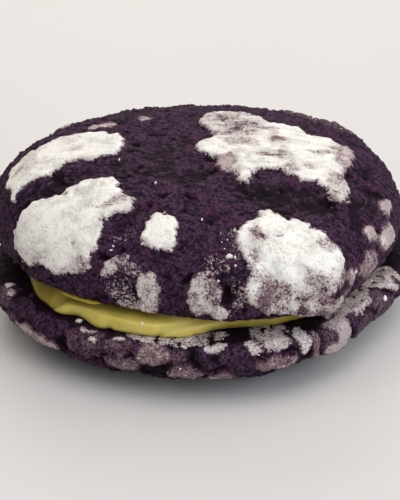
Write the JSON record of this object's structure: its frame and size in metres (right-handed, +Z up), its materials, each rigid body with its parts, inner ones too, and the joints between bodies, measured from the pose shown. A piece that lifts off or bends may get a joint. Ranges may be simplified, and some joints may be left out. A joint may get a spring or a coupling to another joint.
{
  "type": "crinkle cookie sandwich",
  "caption": "Sandwich of soft purple yam crinkle cookies, dusted with cracked sugar plates, set flat face to flat face on a layer of pale yellow cream.",
  "frame": {"origin": "on the table, under the middle of the sandwich", "axes": "+Z up through the cookies, -Y towards the viewer of the picture, +X to the viewer's right"},
  "size_m": [0.0756, 0.0742, 0.0303],
  "materials": {
    "purple_dough": "matte baked crumb with powdered sugar plates",
    "pale_cream": "smooth satin cream"
  },
  "bodies": {
    "root": {"bottom_cookie": "purple_dough", "cream_filling": "pale_cream", "top_cookie": "purple_dough"}
  },
  "joints": []
}
